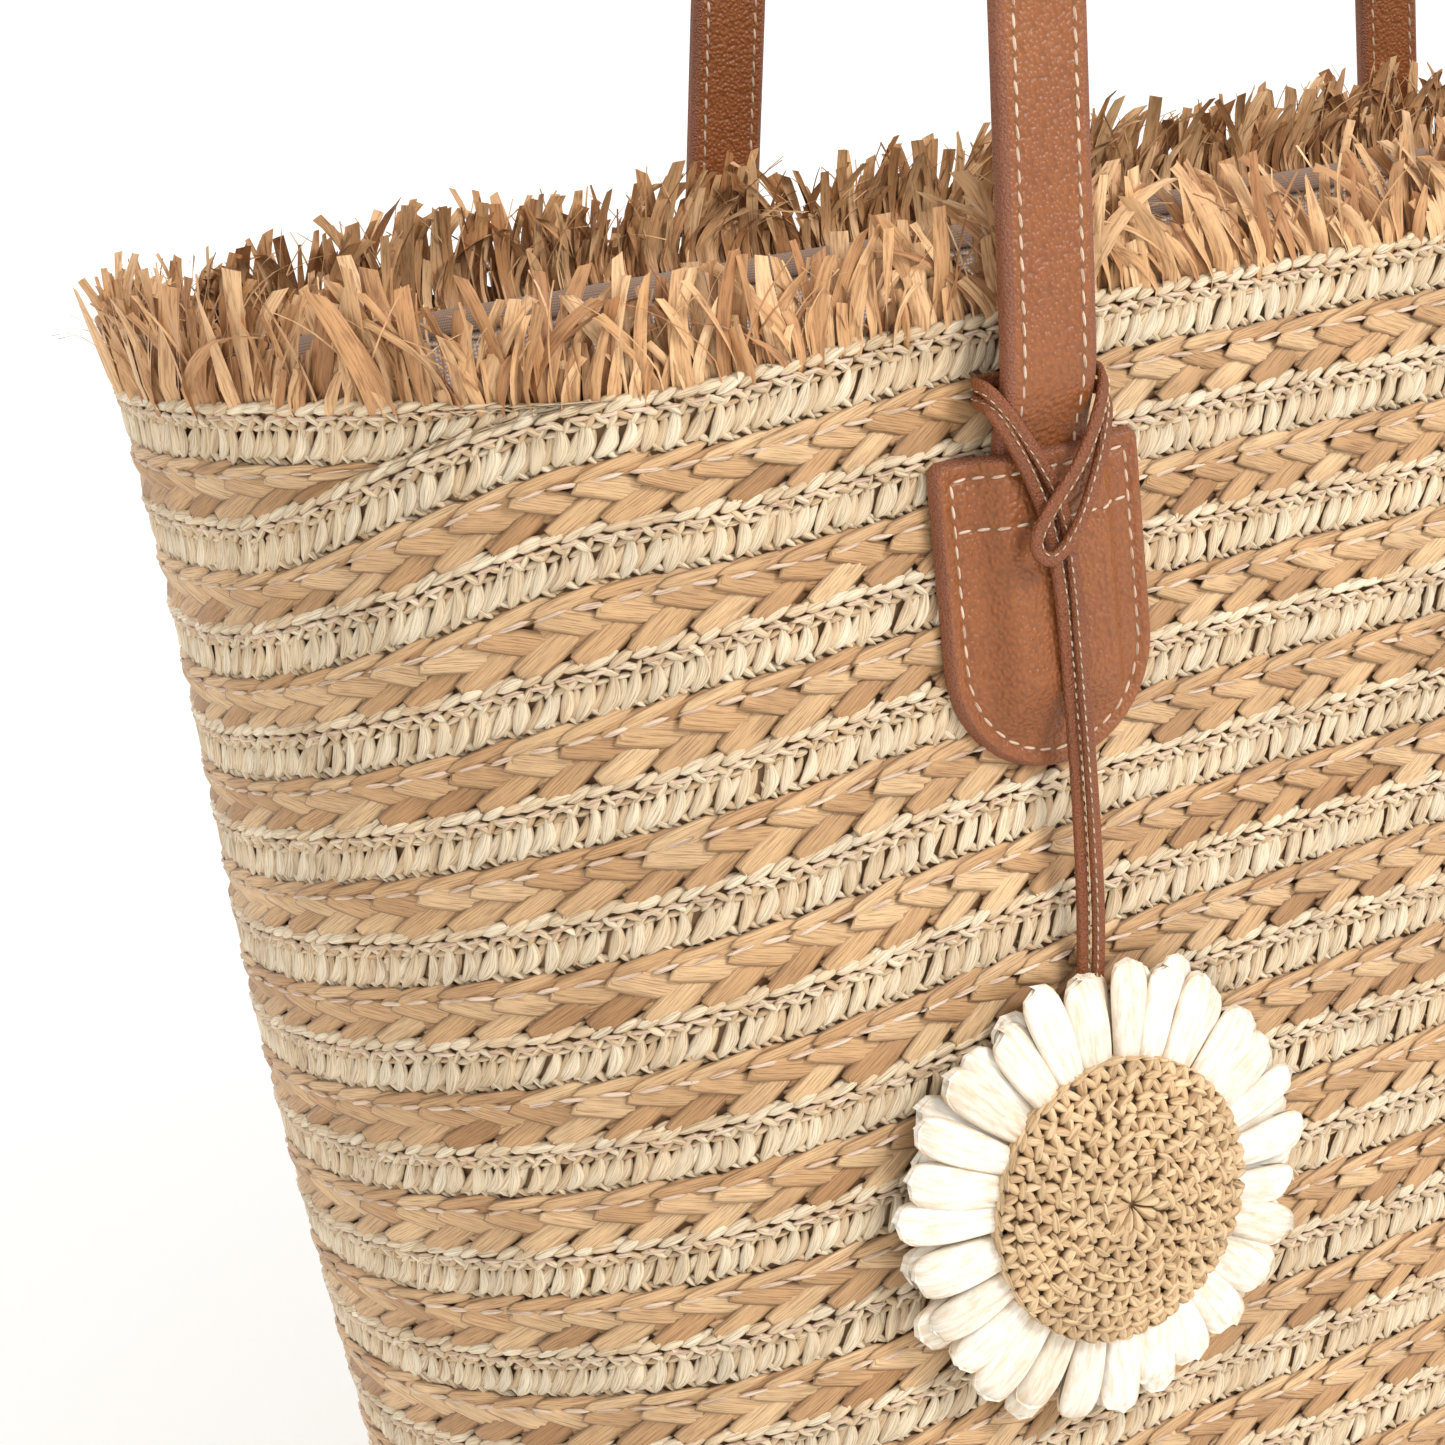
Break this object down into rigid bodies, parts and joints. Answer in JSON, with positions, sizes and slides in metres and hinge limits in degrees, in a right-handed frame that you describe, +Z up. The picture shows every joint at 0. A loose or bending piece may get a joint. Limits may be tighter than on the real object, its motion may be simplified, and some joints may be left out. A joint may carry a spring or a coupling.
{
  "type": "straw beach tote bag",
  "caption": "Tapered oval straw tote of sewn braids in alternating tones, with a fringed rim, cloth lining, leather strap handles under stitched patches and a straw flower on a lace.",
  "frame": {"origin": "middle of the base mat's underside", "axes": "+X to the right along the length, front face with the flower towards -Y, +Z up"},
  "size_m": [0.5082, 0.2031, 0.5543],
  "materials": {
    "natural_straw": "matt plaited straw",
    "cream_straw": "matt plaited straw",
    "fringe_straw": "loose dry straw strands",
    "lining_cloth": "plain-weave cloth",
    "strap_leather": "pebbled, with painted edges",
    "lace_leather": "smooth thin leather",
    "petal_straw": "creased straw ribbon",
    "crochet_straw": "crocheted straw"
  },
  "bodies": {
    "bag": {"base_mat": "natural_straw", "natural_course_01": "natural_straw", "cream_course_01": "cream_straw", "natural_course_02": "natural_straw", "cream_course_02": "cream_straw", "natural_course_03": "natural_straw", "cream_course_03": "cream_straw", "natural_course_04": "natural_straw", "cream_course_04": "cream_straw", "natural_course_05": "natural_straw", "cream_course_05": "cream_straw", "natural_course_06": "natural_straw", "cream_course_06": "cream_straw", "natural_course_07": "natural_straw", "cream_course_07": "cream_straw", "natural_course_08": "natural_straw", "cream_course_08": "cream_straw", "natural_course_09": "natural_straw", "cream_course_09": "cream_straw", "natural_course_10": "natural_straw", "cream_course_10": "cream_straw", "natural_course_11": "natural_straw", "cream_course_11": "cream_straw", "natural_course_12": "natural_straw", "cream_course_12": "cream_straw", "natural_course_13": "natural_straw", "cream_course_13": "cream_straw", "natural_course_14": "natural_straw", "cream_course_14": "cream_straw", "lining": "lining_cloth", "lining_hem": "lining_cloth", "fringe": "fringe_straw", "front_strap_end_left": "strap_leather", "front_strap_end_right": "strap_leather", "back_strap_end_left": "strap_leather", "back_strap_end_right": "strap_leather", "front_patch_left": "strap_leather", "front_patch_right": "strap_leather", "back_patch_left": "strap_leather", "back_patch_right": "strap_leather", "lace_hitch": "lace_leather"},
    "front_handle": {"front_strap_outer": "strap_leather", "front_strap_inner": "strap_leather"},
    "back_handle": {"back_strap_outer": "strap_leather", "back_strap_inner": "strap_leather"},
    "charm_lace": {"lace_strand_left": "lace_leather", "lace_strand_right": "lace_leather"},
    "flower": {"petals_back": "petal_straw", "petals_front": "petal_straw", "flower_disc": "crochet_straw"}
  },
  "joints": [
    {"name": "front_handle_fold", "type": "hinge", "parent": "bag", "child": "front_handle", "pos_m": [0, -0.0944, 0.288], "axis": [1, 0, 0], "range_deg": [-8, 115]},
    {"name": "back_handle_fold", "type": "hinge", "parent": "bag", "child": "back_handle", "pos_m": [0, 0.0944, 0.288], "axis": [-1, 0, 0], "range_deg": [-4, 120]},
    {"name": "charm_swing", "type": "hinge", "parent": "bag", "child": "charm_lace", "pos_m": [-0.121, -0.0968, 0.2498], "axis": [0, -1, 0], "range_deg": [-20, 20]},
    {"name": "flower_tilt", "type": "hinge", "parent": "charm_lace", "child": "flower", "pos_m": [-0.121, -0.0952, 0.179], "axis": [-1, 0, 0], "range_deg": [0, 60]}
  ]
}
